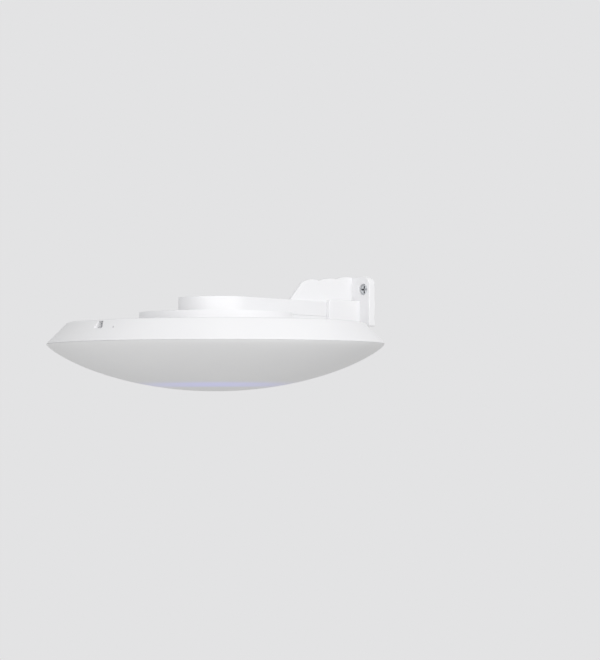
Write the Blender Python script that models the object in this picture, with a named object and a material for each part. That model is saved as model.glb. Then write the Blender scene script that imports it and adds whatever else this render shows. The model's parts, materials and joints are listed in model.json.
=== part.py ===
"""Round access point hung under a wall arm, made as the separate pieces it comes apart into.

Lengths are millimetres until add_piece turns them into metres. Pieces are laid out round the
centre of the access point's rim: x to the right, y towards the wall, z up. RIM_CENTRE is where
that centre lies in the part's own frame, whose origin is the middle of the wall plate's back.
"""
import math

import bmesh
import bpy
from mathutils import Matrix, Vector

MM = 0.001
GAP = 0.3
SMOOTH_ANGLE = math.radians(32)

# Access point: dome below the rim, chamfered cover above it
RIM_RADIUS = 110.0
DOME_DEPTH = 30.5
DOME_FULLNESS = 0.78
DOME_WALL = 2.2
DOME_INNER_RADIUS = 107.0
RIM_FLANGE_RADIUS = 103.5
RIM_SEAM = GAP / 2
BACK_Z = 14.0
BACK_WALL = 2.0
RIM_LAND = 0.5
CHAMFER_SUM = RIM_RADIUS + RIM_LAND
CHAMFER_INNER_SUM = 107.2
BACK_CORNER_RADIUS = 3.0
GASKET = (104.0, 105.6)
GASKET_TOP = 1.1
SHELL_STEPS = 64
BOARD_STEPS = 72
RING_STEPS = 48

# Wall arm: plate, arm that narrows from a round front to its foot, rib on top, base disc below
RIM_TO_WALL = 133.0
PLATE_THICK = 5.5
PLATE_HALF_WIDTH = 17.5
PLATE_LOW = 14.5
PLATE_HIGH = 48.5
PLATE_CORNER = 6.0
PLATE_LOW_CORNER = 1.0
PLATE_EDGE = 0.9
PLATE_MIDDLE = (PLATE_LOW + PLATE_HIGH) / 2
PLATE_FRONT = RIM_TO_WALL - PLATE_THICK
ARM_END = PLATE_FRONT - GAP
ARM_RADIUS = 24.5
ARM_TAPER = 11.0
ARM_EDGE = 0.5
FOOT_START = 97.5
TAPER_ANGLE = math.radians(ARM_TAPER)
FOOT_HALF_WIDTH = ARM_RADIUS / math.cos(TAPER_ANGLE) - FOOT_START * math.tan(TAPER_ANGLE)
RING_TOP = 30.6
BASE_RADIUS = 50.0
BASE_LOW = BACK_Z + 0.5
BASE_HIGH = 20.4
ARM_LOW = BASE_HIGH + GAP
CHEEK = (FOOT_HALF_WIDTH + GAP, 8.7)
CHEEK_Z = (BACK_Z + 0.6, 31.9)
CHEEK_CORNER = 1.5
CHEEK_EDGE = 0.9
RIM_CENTRE = Vector((0.0, -RIM_TO_WALL, -PLATE_MIDDLE))

# Rib on the arm's top: a ramp, then three crowned steps as (start, end, end height, crown)
RIB_HALF_WIDTH = 1.3
RIB_LOW = 28.0
RAMP = [(67.0, RING_TOP), (68.5, 32.15), (79.2, 43.24)]
CROWNED_STEPS = [(79.2, 95.8, 44.8, 1.6), (95.8, 112.5, 46.5, 1.15), (112.5, ARM_END, 48.2, 1.0)]
CROWN_POINTS = 6

# Cable way: socket well in the back, hole in the base, hollow front and channel in the arm, plate hole
WELL = ((-10.0, 10.0), (-4.0, 24.0), (2.5, BACK_Z + 1))
WELL_WALL = 1.6
WELL_FLOOR = 1.4
SOCKET_WINDOW = ((-6.4, 6.4), (2.7, 10.9))
BASE_HOLE_RADIUS = 19.0
BASE_HOLE_Y = 6.0
HOLLOW_RADIUS = 22.0
HOLLOW_TOP = 28.2
HOLLOW_REAR = ((-13.0, 13.0), (0.0, 27.0))
CHANNEL_X = (-3.4, 3.4)
CHANNEL_START = 20.0
CHANNEL_TOP = 26.6
CABLE_HOLE_Z = (ARM_LOW + 0.2, CHANNEL_TOP - 0.2)
CABLE_HOLE_CORNER = 1.5

# Twist lock: T hooks under the base in keyhole slots of the cover
HOOK_RADIUS = 36.0
HOOK_HALF_WIDTH = 2.5
HOOK_STEM = 1.8
HOOK_FOOT = 4.4
HOOK_LOW = 8.6
HOOK_STEP = 11.4
HOOK_ANGLES = [45, 135, 225, 315]
KEYHOLE_STEM = 2.6
KEYHOLE_FOOT = 5.2
TWIST = 18.0
SLOT_END = 5.5

# Release slot, latch and reset pinhole at the front of the cover
SLOT_LOW = 8.2
SLOT_HIGH = 13.0
SLOT_LOW_X = (-4.0, 4.6)
SLOT_HIGH_X = (-4.0, 0.3)
SLOT_BACK = -94.0
POCKET_WALL = 1.2
POCKET_BACK = -95.0
RAIL_X = (3.6, 5.0)
RAIL_Y = (-92.0, -52.0)
RAIL_LOW = 8.0
LATCH_HALF_WIDTH = 2.6
LATCH_PAD_Z = (8.6, 11.7)
LATCH_PAD_DEPTH = 2.0
LATCH_LOW = 8.8
LATCH_HIGH = 11.2
LATCH_FRONT = -96.8
LATCH_INNER = -44.0
LATCH_NOSE = (-48.5, -45.5)
LATCH_TRAVEL = 3.0
NOSE_WINDOW_HALF_WIDTH = 3.0
SPRING_RADIUS = 1.3
SPRING_STOP = -33.5
SPRING_STOP_X = (-4.0, 4.0)
SPRING_STOP_THICK = 1.6
PINHOLE_RADIUS = 0.85
PINHOLE_ANGLE = -90 + 7.6
PINHOLE_Z = 8.5
PINHOLE_DEPTH = 93.0
RESET_SWITCH_DEPTH = (79.0, 87.0)
RESET_SWITCH_HALF_WIDTH = 3.0
RESET_SWITCH_TOP = 10.5
RESET_BORE_RADIUS = 1.6
RESET_BORE_START = 81.5
RESET_BUTTON = (83.0, 97.5)
RESET_BUTTON_RADIUS = 1.2

# Inside stack, heights above the rim
BOSS_CIRCLE = 84.0
BOSS_ANGLES = [45, 135, 225, 315]
BOSS_TOP = 6.2
BOSS_SHOULDER = -2.6
BOSS_RADIUS = 3.4
BOSS_FOOT_RADIUS = 4.6
BOSS_DRILL = (1.6, -9.0)
BOSS_CLEARANCE = 3.8
COVER_BOSS_RADIUS = 4.4
HEAD_WELL_RADIUS = 3.3
HEAD_WELL_FLOOR = 10.8
BOARD_RADIUS = 90.0
ANTENNA_PLATE_Z = (-2.3, -1.3)
BOARD_Z = (-1.0, 0.6)
CAN_Z = (BOARD_Z[1] + GAP, 3.0)
PAD_Z = (CAN_Z[1] + GAP, 4.5)
SPREADER_Z = (PAD_Z[1] + GAP, 7.3)
SPREADER_RADIUS = 78.0
SPREADER_WINDOW = ((-12.6, 12.6), (-27.5, 27.5))
JACK_HALF_WIDTH = 8.0
JACK_LENGTH = 20.0
JACK_TOP = 11.6
SOCKET_DEPTH = 14.0
SOCKET_HALF_WIDTH = 5.9
SOCKET_Z = (4.4, 10.6)
TAB_HALF_WIDTH = 3.0
TAB_LOW = 3.2
LED_BOARD = (33.0, 43.0)
LED_BOARD_Z = (ANTENNA_PLATE_Z[0] - GAP - 1.6, ANTENNA_PLATE_Z[0] - GAP)
LIGHT_GUIDE = (36.5, 39.5)
LIGHT_GUIDE_LOW = -24.3
ANTENNA_CIRCLE = 62.0
ANTENNA_FOOT = (-3.0, 3.0)
ANTENNA_SHEET = 1.0

# Fasteners: head radius, head height, shank radius, whole length
WALL_SCREW = (3.4, 1.8, 1.6, 4.3)
ARM_BOLT = (1.7, 1.2, 0.85, 12.0)
BASE_SCREW = (3.0, 1.9, 1.4, 14.0)
HOUSING_SCREW = (2.8, 2.0, 1.3, 20.0)
HOUSING_SCREW_TOP = 13.1
SCREW_HOLE = 1.7
WALL_SCREW_X = 11.5
WALL_SCREW_Z = 39.7
WALL_HOLE = (3.8, 2.0)
WALL_HOLE_STEP = PLATE_FRONT + 3.2
ARM_BOLT_X = 3.2
ARM_BOLT_Z = 28.9
ARM_BOLT_HOLE = (2.0, 1.1)
ARM_BOLT_STEP = RIM_TO_WALL - 1.7
ARM_BOLT_DEPTH = 119.5
HEAD_INSET = 0.2
BASE_SCREW_SPOTS = [(-10.0, 42.0), (10.0, 42.0), (-7.0, 64.0), (7.0, 64.0)]
BASE_SCREW_WELL = 3.4
BASE_SCREW_STEP = 17.0
BASE_SCREW_DEPTH = 29.2
SCREW_STEPS = 16


def clear_scene():
    for thing in list(bpy.data.objects):
        bpy.data.objects.remove(thing)


def material(name, colour, roughness, metallic=0.0):
    """Principled material with one colour, given as linear red, green and blue."""
    made = bpy.data.materials.new(name)
    made.use_nodes = True
    shader = made.node_tree.nodes["Principled BSDF"]
    shader.inputs["Base Color"].default_value = (*colour, 1.0)
    shader.inputs["Roughness"].default_value = roughness
    shader.inputs["Metallic"].default_value = metallic
    return made


def group_empty(name):
    """Empty on the twist axis, at the rim's centre, that a rigid group of pieces hangs from."""
    empty = bpy.data.objects.new(name, None)
    empty.location = RIM_CENTRE * MM
    bpy.context.scene.collection.objects.link(empty)
    return empty


def face_out(solid):
    """Turn every face of a closed solid outwards."""
    bmesh.ops.recalc_face_normals(solid, faces=solid.faces)
    if solid.calc_volume(signed=True) < 0:
        bmesh.ops.reverse_faces(solid, faces=solid.faces)
    return solid


def add_piece(name, solid, finish, group, pivot=(0.0, 0.0, 0.0)):
    """Named object in metres from a bmesh in millimetres, with its origin at the pivot."""
    face_out(solid)
    solid.transform(Matrix.Scale(MM, 4) @ Matrix.Translation(-Vector(pivot)))
    mesh = bpy.data.meshes.new(name)
    solid.to_mesh(mesh)
    solid.free()
    mesh.materials.clear()
    mesh.materials.append(finish)
    mesh.shade_smooth()
    mesh.set_sharp_from_angle(angle=SMOOTH_ANGLE)
    piece = bpy.data.objects.new(name, mesh)
    piece.parent = group
    piece.location = Vector(pivot) * MM
    bpy.context.scene.collection.objects.link(piece)
    return piece


def skin(solid, ring, next_ring):
    """Faces between two rings of vertices, either of which may be a single point on the axis."""
    count = max(len(ring), len(next_ring))
    if count == 1:
        return
    for i in range(count):
        j = (i + 1) % count
        corners = [ring[i % len(ring)], ring[j % len(ring)]]
        corners += [next_ring[j % len(next_ring)], next_ring[i % len(next_ring)]]
        solid.faces.new(list(dict.fromkeys(corners)))


def lathe(profile, steps):
    """Closed solid turned round the z axis from (radius, height) points."""
    solid = bmesh.new()
    turns = [2 * math.pi * i / steps for i in range(steps)]
    rings = []
    for radius, height in profile:
        spots = turns if radius else [0.0]
        rings.append([solid.verts.new((radius * math.cos(a), radius * math.sin(a), height)) for a in spots])
    for ring, next_ring in zip(rings, rings[1:] + rings[:1]):
        skin(solid, ring, next_ring)
    return face_out(solid)


def prism(outline, low, high):
    """Closed solid with an outline of (x, y) points between two heights."""
    solid = bmesh.new()
    bottom = [solid.verts.new((x, y, low)) for x, y in outline]
    top = [solid.verts.new((x, y, high)) for x, y in outline]
    solid.faces.new(bottom)
    solid.faces.new(top)
    skin(solid, bottom, top)
    return face_out(solid)


def box(x_range, y_range, z_range):
    """Block between two limits on each axis."""
    (x0, x1), (y0, y1) = x_range, y_range
    return prism([(x0, y0), (x1, y0), (x1, y1), (x0, y1)], *z_range)


def arc(centre, radius, start, end, steps):
    """Points on a circular arc between two angles in degrees, both ends included."""
    angles = [math.radians(start + (end - start) * i / steps) for i in range(steps + 1)]
    return [(centre[0] + radius * math.cos(a), centre[1] + radius * math.sin(a)) for a in angles]


def circle(radius, steps):
    """Outline of a circle round the z axis."""
    return arc((0, 0), radius, 0, 360 - 360 / steps, steps - 1)


def rounded_rectangle(x_range, y_range, radii, steps=4):
    """Rectangle outline with round corners, given the radius of the upper and of the lower two."""
    (x0, x1), (y0, y1) = x_range, y_range
    upper, lower = radii
    outline = []
    corners = [(x1, y1, 0, upper), (x0, y1, 90, upper), (x0, y0, 180, lower), (x1, y0, 270, lower)]
    for x, y, start, radius in corners:
        centre = (x - math.copysign(radius, x - (x0 + x1) / 2), y - math.copysign(radius, y - (y0 + y1) / 2))
        outline += arc(centre, radius, start, start + 90, steps)
    return outline


def moved(solid, x=0.0, y=0.0, z=0.0):
    solid.transform(Matrix.Translation((x, y, z)))
    return solid


def turned(solid, degrees, axis="Z"):
    solid.transform(Matrix.Rotation(math.radians(degrees), 4, axis))
    return solid


def facing_wall(solid):
    """Stand a solid drawn as x, height, depth up so that its height is z and its depth is y."""
    solid.transform(Matrix(((1, 0, 0, 0), (0, 0, 1, 0), (0, 1, 0, 0), (0, 0, 0, 1))))
    return face_out(solid)


def sideways(solid):
    """Stand a solid drawn as y, z, x so that its third direction is x."""
    solid.transform(Matrix(((0, 0, 1, 0), (1, 0, 0, 0), (0, 1, 0, 0), (0, 0, 0, 1))))
    return face_out(solid)


def together(solids):
    """One bmesh that holds several bodies that don't meet."""
    whole = bmesh.new()
    for solid in solids:
        mesh = bpy.data.meshes.new("body")
        solid.to_mesh(mesh)
        solid.free()
        whole.from_mesh(mesh)
        bpy.data.meshes.remove(mesh)
    return whole


def boolean(solid, tool, operation):
    """Bmesh left by a Boolean of two closed bmeshes."""
    helpers = []
    for shape in (solid, tool):
        mesh = bpy.data.meshes.new("helper")
        shape.to_mesh(mesh)
        shape.free()
        helper = bpy.data.objects.new("helper", mesh)
        bpy.context.scene.collection.objects.link(helper)
        helpers.append(helper)
    step = helpers[0].modifiers.new("step", "BOOLEAN")
    step.operation = operation
    step.object = helpers[1]
    result = bmesh.new()
    result.from_object(helpers[0], bpy.context.evaluated_depsgraph_get())
    for helper in helpers:
        mesh = helper.data
        bpy.data.objects.remove(helper)
        bpy.data.meshes.remove(mesh)
    return result


def cut(solid, tools):
    return boolean(solid, together(tools), "DIFFERENCE")


def join(solid, additions):
    return boolean(solid, together(additions), "UNION")


def ease_edges(solid, on_edge, width, segments=2):
    """Round the edges whose two ends both pass a test."""
    edges = [e for e in solid.edges if all(on_edge(v.co) for v in e.verts)]
    bmesh.ops.bevel(solid, geom=edges, offset=width, segments=segments, affect="EDGES", profile=0.5)
    return solid


def polar(radius, degrees):
    return radius * math.cos(math.radians(degrees)), radius * math.sin(math.radians(degrees))


def dome_z(radius):
    """Height of the dome's outer face, a cap that is a little fuller than a sphere."""
    return -DOME_DEPTH * (1 - (radius / RIM_RADIUS) ** 2) ** DOME_FULLNESS


def dome_inner_z(radius):
    return -(DOME_DEPTH - DOME_WALL) * (1 - (radius / DOME_INNER_RADIUS) ** 2) ** DOME_FULLNESS


def screw(head_radius, head_height, shank_radius, length, recess=True):
    """Pan head screw pointing down, with the top of its head at height 0."""
    profile = [
        (0.0, 0.0), (0.7 * head_radius, 0.0), (head_radius, -0.4 * head_height), (head_radius, -head_height),
        (shank_radius, -head_height), (shank_radius, -length), (0.0, -length),
    ]
    solid = lathe(profile, SCREW_STEPS)
    if not recess:
        return solid
    arm, half = 0.5 * head_radius, 0.12 * head_radius
    cross = [(arm, half), (half, half), (half, arm)]
    outline = []
    for quarter in range(4):
        turn = Matrix.Rotation(quarter * math.pi / 2, 2)
        outline += [turn @ Vector(point) for point in cross]
    return cut(solid, [prism(outline, -0.6 * head_height, 1.0)])


def well_hole(radius, low, high, x=0.0, y=0.0):
    """Upright cylinder used to drill a hole."""
    return moved(prism(circle(radius, SCREW_STEPS), low, high), x, y)


def radial(solid):
    """Lay an upright solid down along the pinhole's radius, so that heights become distances out."""
    return turned(moved(turned(solid, 90, "Y"), z=PINHOLE_Z), PINHOLE_ANGLE)


def stepped_hole(wide, narrow, low, step, high, x=0.0, y=0.0):
    """Upright drill with a wide upper part."""
    profile = [(0.0, high), (wide, high), (wide, step), (narrow, step), (narrow, low), (0.0, low)]
    return moved(lathe(profile, SCREW_STEPS), x, y)


def radome(finish, group):
    """Dome with a thick rim, and four posts that the housing screws bite into."""
    outer = [RIM_RADIUS * math.sin(math.radians(a)) for a in (86, 79, 71, 62, 53, 44, 35, 26, 17, 8)]
    inner = [RIM_FLANGE_RADIUS * math.sin(math.radians(a)) for a in (14, 30, 45, 58, 69, 79, 90)]
    seam_radius = RIM_RADIUS * math.sqrt(1 - (RIM_SEAM / DOME_DEPTH) ** (1 / DOME_FULLNESS))
    profile = [(seam_radius, -RIM_SEAM)]
    profile += [(r, dome_z(r)) for r in outer]
    profile += [(0.0, -DOME_DEPTH), (0.0, DOME_WALL - DOME_DEPTH)]
    profile += [(r, dome_inner_z(r)) for r in inner]
    profile += [(RIM_FLANGE_RADIUS, -RIM_SEAM)]
    posts = []
    drills = []
    for angle in BOSS_ANGLES:
        x, y = polar(BOSS_CIRCLE, angle)
        foot = DOME_WALL - DOME_DEPTH
        profile_post = [
            (0.0, BOSS_TOP), (BOSS_RADIUS, BOSS_TOP), (BOSS_RADIUS, BOSS_SHOULDER),
            (BOSS_FOOT_RADIUS, BOSS_SHOULDER), (BOSS_FOOT_RADIUS, foot), (0.0, foot),
        ]
        post = moved(lathe(profile_post, SCREW_STEPS), x, y)
        for vertex in post.verts:
            if vertex.co.z < BOSS_SHOULDER - 1:
                radius = vertex.co.xy.length
                vertex.co.z = (dome_z(radius) + dome_inner_z(radius)) / 2
        posts.append(post)
        drills.append(well_hole(*BOSS_DRILL, BOSS_TOP + 1, x, y))
    solid = cut(join(lathe(profile, SHELL_STEPS), posts), drills)
    return add_piece("radome", solid, finish, group)


def keyhole_slot(start):
    """Arc slot for one T hook: narrow from the locked place, wide at the end of the twist."""
    stem, foot = KEYHOLE_STEM, KEYHOLE_FOOT
    first, last = start - SLOT_END, start + TWIST + SLOT_END
    widen = last - 2 * SLOT_END
    outline = arc((0, 0), HOOK_RADIUS - stem, first, widen, 6)
    outline += arc((0, 0), HOOK_RADIUS - foot, widen, last, 4)
    outline += arc((0, 0), HOOK_RADIUS + foot, last, widen, 4)
    outline += arc((0, 0), HOOK_RADIUS + stem, widen, first, 6)
    return prism(outline, BACK_Z - BACK_WALL - 1, BACK_Z + 1)


def release_pocket():
    """Wedge inside the chamfer that gives the release slot its side walls and floor."""
    middle = (CHAMFER_SUM + CHAMFER_INNER_SUM) / 2
    low, high = SLOT_LOW - POCKET_WALL, BACK_Z - BACK_WALL / 2
    side = [(low - middle, low), (high - middle, high), (POCKET_BACK, high), (POCKET_BACK, low)]
    return sideways(prism(side, SLOT_LOW_X[0] - POCKET_WALL, SLOT_LOW_X[1] + POCKET_WALL))


def release_slot():
    """Cutter for the release slot, which narrows upwards, and for the latch pad's room behind it."""
    outline = [(x, SLOT_LOW) for x in SLOT_LOW_X] + [(x, SLOT_HIGH) for x in reversed(SLOT_HIGH_X)]
    slot = facing_wall(prism(outline, -RIM_RADIUS, SLOT_BACK))
    half = LATCH_HALF_WIDTH + GAP
    room_z = (LATCH_PAD_Z[0] - GAP, BACK_Z - BACK_WALL)
    room = box((-half, half), (LATCH_FRONT - GAP, SLOT_BACK + GAP), room_z)
    return join(slot, [room])


def rear_cover(finish, group):
    """Chamfered cover with screw posts, latch rails and all its openings."""
    inner_back = BACK_Z - BACK_WALL
    corner = BACK_CORNER_RADIUS * math.tan(math.radians(22.5))
    corner_centre = (CHAMFER_SUM - BACK_Z - corner, BACK_Z - BACK_CORNER_RADIUS)
    profile = [(RIM_RADIUS, RIM_SEAM), (RIM_RADIUS, RIM_LAND)]
    profile += arc(corner_centre, BACK_CORNER_RADIUS, 45, 90, 3)
    profile += [(0.0, BACK_Z), (0.0, inner_back), (CHAMFER_INNER_SUM - inner_back, inner_back)]
    profile += [(CHAMFER_INNER_SUM - RIM_SEAM, RIM_SEAM)]
    overlap = inner_back + 0.5
    nose_y = (LATCH_NOSE[0] - 2 * GAP, LATCH_NOSE[1] + LATCH_TRAVEL + 2 * GAP)
    additions = [
        box((-RAIL_X[1], -RAIL_X[0]), RAIL_Y, (RAIL_LOW, overlap)),
        box(RAIL_X, RAIL_Y, (RAIL_LOW, overlap)),
        box(SPRING_STOP_X, (SPRING_STOP, SPRING_STOP + SPRING_STOP_THICK), (RAIL_LOW, overlap)),
        release_pocket(),
    ]
    cuts = [
        box(*WELL),
        release_slot(),
        box((-NOSE_WINDOW_HALF_WIDTH, NOSE_WINDOW_HALF_WIDTH), nose_y, (inner_back - GAP, BACK_Z + 1)),
        radial(well_hole(PINHOLE_RADIUS, PINHOLE_DEPTH, RIM_RADIUS)),
    ]
    for angle in BOSS_ANGLES:
        x, y = polar(BOSS_CIRCLE, angle)
        additions.append(well_hole(COVER_BOSS_RADIUS, BOSS_TOP + GAP, overlap, x, y))
        heights = (BOSS_TOP - 1, HEAD_WELL_FLOOR, BACK_Z + 1)
        cuts.append(stepped_hole(HEAD_WELL_RADIUS, SCREW_HOLE, *heights, x, y))
    cuts += [keyhole_slot(angle) for angle in HOOK_ANGLES]
    solid = cut(join(lathe(profile, SHELL_STEPS), additions), cuts)
    return add_piece("rear_cover", solid, finish, group)


def socket_cup(finish, group):
    """Open cup under the cover's cable opening, with a window for the network socket."""
    (x0, x1), (y0, y1), (z0, _) = WELL
    outer = box((x0 - WELL_WALL, x1 + WELL_WALL), (y0 - WELL_WALL, y1 + WELL_WALL),
                (z0 - WELL_FLOOR, BACK_Z - BACK_WALL - GAP))
    window_x, window_z = SOCKET_WINDOW
    window = box(window_x, (y0 - WELL_WALL - 1, y0 + 1), window_z)
    solid = cut(cut(outer, [box(*WELL)]), [window])
    return add_piece("socket_cup", solid, finish, group)


def rim_gasket(finish, group):
    """Soft ring on the dome's rim, inside the foot of the cover's chamfer."""
    inner, outer = GASKET
    profile = [(outer, GASKET_TOP), (outer, RIM_SEAM), (inner, RIM_SEAM), (inner, GASKET_TOP)]
    return add_piece("rim_gasket", lathe(profile, SHELL_STEPS), finish, group)


def round_board(name, radius, z_range, finish, group):
    """Disc with clearance holes for the four screw posts."""
    disc = prism(circle(radius, BOARD_STEPS), *z_range)
    spots = [polar(BOSS_CIRCLE, angle) for angle in BOSS_ANGLES]
    holes = [well_hole(BOSS_CLEARANCE, z_range[0] - 1, z_range[1] + 1, x, y) for x, y in spots]
    return add_piece(name, cut(disc, holes), finish, group)


def heat_spreader(finish, group):
    """Plate over the board, open in the middle for the socket and its well."""
    disc = prism(circle(SPREADER_RADIUS, BOARD_STEPS), *SPREADER_Z)
    window = box(*SPREADER_WINDOW, (SPREADER_Z[0] - 1, SPREADER_Z[1] + 1))
    return add_piece("heat_spreader", cut(disc, [window]), finish, group)


def ring(name, radii, z_range, finish, group):
    inner, outer = radii
    low, high = z_range
    profile = [(outer, high), (outer, low), (inner, low), (inner, high)]
    return add_piece(name, lathe(profile, RING_STEPS), finish, group)


def board_blocks(finishes, group):
    """Shield cans, thermal pads and transformer on the main board: name, centre, half size, heights."""
    blocks = [
        ("processor_shield", (-38, 0), (16, 16), CAN_Z, "tinned_steel"),
        ("radio_shield_1", (38, 26), (15, 12), CAN_Z, "tinned_steel"),
        ("radio_shield_2", (38, -26), (15, 12), CAN_Z, "tinned_steel"),
        ("thermal_pad_1", (-38, 0), (11, 11), PAD_Z, "thermal_pad"),
        ("thermal_pad_2", (38, 26), (10, 8), PAD_Z, "thermal_pad"),
        ("thermal_pad_3", (38, -26), (10, 8), PAD_Z, "thermal_pad"),
        ("power_transformer", (0, -42), (9, 7), (CAN_Z[0], PAD_Z[1]), "ferrite"),
    ]
    for name, (x, y), (half_x, half_y), z_range, finish in blocks:
        solid = box((x - half_x, x + half_x), (y - half_y, y + half_y), z_range)
        add_piece(name, solid, finishes[finish], group)


def ethernet_jack(finish, group):
    """Socket that faces the wall inside the well, with the notch for the plug's tab."""
    front = WELL[1][0] - WELL_WALL - GAP
    solid = box((-JACK_HALF_WIDTH, JACK_HALF_WIDTH), (front - JACK_LENGTH, front), (CAN_Z[0], JACK_TOP))
    low, high = SOCKET_Z
    right_half = [(TAB_HALF_WIDTH, TAB_LOW), (TAB_HALF_WIDTH, low)]
    right_half += [(SOCKET_HALF_WIDTH, low), (SOCKET_HALF_WIDTH, high)]
    socket = right_half + [(-x, z) for x, z in reversed(right_half)]
    hollow = moved(facing_wall(prism(socket, -SOCKET_DEPTH, 1.0)), y=front)
    return add_piece("ethernet_jack", cut(solid, [hollow]), finish, group)


def antennas(finish, group):
    """Folded sheet antennas hung under the plate: four long ones and four short ones between them."""
    sizes = [("antenna_low", 13.0, 11.0, 0), ("antenna_high", 7.0, 7.0, 45)]
    top = ANTENNA_PLATE_Z[0] - GAP
    under = top - ANTENNA_SHEET
    inner, outer = ANTENNA_FOOT
    for name, half_length, drop, first_angle in sizes:
        low = top - drop
        fold = [(inner, top), (outer, top), (outer, under), (inner + ANTENNA_SHEET, under)]
        fold += [(inner + ANTENNA_SHEET, low), (inner, low)]
        for i in range(4):
            solid = sideways(prism(fold, -half_length, half_length))
            solid = turned(moved(solid, y=ANTENNA_CIRCLE), first_angle + 90 * i)
            add_piece(f"{name}_{i + 1}", solid, finish, group)


def housing_screws(finish, group):
    for i, angle in enumerate(BOSS_ANGLES):
        x, y = polar(BOSS_CIRCLE, angle)
        solid = moved(screw(*HOUSING_SCREW), x, y, HOUSING_SCREW_TOP)
        add_piece(f"housing_screw_{i + 1}", solid, finish, group)


def reset_parts(finishes, group):
    """Tall switch on the board and the plunger behind the pinhole, both on a radial line."""
    inner, outer = RESET_SWITCH_DEPTH
    half = RESET_SWITCH_HALF_WIDTH
    body = turned(box((inner, outer), (-half, half), (CAN_Z[0], RESET_SWITCH_TOP)), PINHOLE_ANGLE)
    bore = radial(well_hole(RESET_BORE_RADIUS, RESET_BORE_START, outer + 1))
    add_piece("reset_switch", cut(body, [bore]), finishes["black_plastic"], group)
    plunger = radial(well_hole(RESET_BUTTON_RADIUS, *RESET_BUTTON))
    pivot = (*polar(RESET_BUTTON[1], PINHOLE_ANGLE), PINHOLE_Z)
    add_piece("reset_button", plunger, finishes["black_plastic"], group, pivot)


def release_latch(finishes, group):
    """Sliding latch: press pad behind the slot, bar between the rails, nose under the base."""
    nose_front, nose_back = LATCH_NOSE
    nose_top = BASE_LOW - GAP
    pad_back = LATCH_FRONT + LATCH_PAD_DEPTH
    side = [
        (LATCH_FRONT, LATCH_PAD_Z[0]), (LATCH_FRONT, LATCH_PAD_Z[1]), (pad_back, LATCH_HIGH),
        (nose_front, LATCH_HIGH), (nose_front, nose_top), (nose_back, nose_top), (nose_back, LATCH_HIGH),
        (LATCH_INNER, LATCH_HIGH), (LATCH_INNER, LATCH_LOW), (pad_back, LATCH_LOW),
    ]
    middle = (LATCH_LOW + LATCH_HIGH) / 2
    latch = sideways(prism(side, -LATCH_HALF_WIDTH, LATCH_HALF_WIDTH))
    add_piece("release_latch", latch, finishes["grey_plastic"], group, (0.0, LATCH_FRONT, middle))
    length = SPRING_STOP - LATCH_INNER - 2 * GAP
    spring = turned(well_hole(SPRING_RADIUS, 0.0, length), -90, "X")
    spring = moved(spring, y=LATCH_INNER + GAP, z=middle)
    add_piece("latch_spring", spring, finishes["spring_steel"], group)


def arm_outline(radius, angle, steps):
    """Plan of the arm's foot and tapered sides, which meet a round front at an angle in degrees."""
    right = [(FOOT_HALF_WIDTH, ARM_END), (FOOT_HALF_WIDTH, FOOT_START)]
    left = [(-x, y) for x, y in reversed(right)]
    return right + arc((0, 0), radius, angle, -180 - angle, steps) + left


def rib():
    """Upright rib on the arm's top, drawn from its side."""
    side = [(ARM_END, RIB_LOW), (RAMP[0][0], RIB_LOW)] + RAMP
    height = RAMP[-1][1]
    for start, end, end_height, crown in CROWNED_STEPS:
        for i in range(1, CROWN_POINTS + 1):
            share = i / CROWN_POINTS
            lift = (end_height - height) * share + 4 * crown * share * (1 - share)
            side.append((start + (end - start) * share, height + lift))
        height = end_height
    return sideways(prism(side, -RIB_HALF_WIDTH, RIB_HALF_WIDTH))


def arm_shell(finish, group):
    """Arm with a rib on top, hollow at its round front and with a cable channel to the wall."""
    solid = prism(arm_outline(ARM_RADIUS, ARM_TAPER, 20), ARM_LOW, RING_TOP)
    solid = ease_edges(solid, lambda p: p.z > RING_TOP - 0.01, ARM_EDGE)
    drills = [box(CHANNEL_X, (CHANNEL_START, ARM_END + 1), (ARM_LOW - 1, CHANNEL_TOP))]
    for side in (-1, 1):
        bolt = facing_wall(well_hole(ARM_BOLT_HOLE[1], ARM_BOLT_DEPTH, ARM_END + 1))
        drills.append(moved(bolt, side * ARM_BOLT_X, 0, ARM_BOLT_Z))
    drills += [well_hole(SCREW_HOLE, ARM_LOW - 1, BASE_SCREW_DEPTH, x, y) for x, y in BASE_SCREW_SPOTS]
    hollow = prism(circle(HOLLOW_RADIUS, RING_STEPS), ARM_LOW - 1, HOLLOW_TOP)
    hollow = join(hollow, [box(*HOLLOW_REAR, (ARM_LOW - 2, HOLLOW_TOP - 0.1))])
    solid = cut(cut(join(solid, [rib()]), [hollow]), drills)
    return add_piece("arm_shell", solid, finish, group)


def t_hook(angle):
    """Hook under the base: a stem and a wider foot, drawn outwards along one radius."""
    top = BASE_LOW + 1
    half = [(HOOK_STEM, top), (HOOK_STEM, HOOK_STEP), (HOOK_FOOT, HOOK_STEP), (HOOK_FOOT, HOOK_LOW)]
    side = [(HOOK_RADIUS + r, z) for r, z in half] + [(HOOK_RADIUS - r, z) for r, z in reversed(half)]
    return turned(sideways(prism(side, -HOOK_HALF_WIDTH, HOOK_HALF_WIDTH)), angle - 90)


def tail_angle():
    """Angle in degrees at which the arm's tapered side leaves the base disc."""
    return math.degrees(math.acos(ARM_RADIUS / BASE_RADIUS)) + ARM_TAPER


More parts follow.
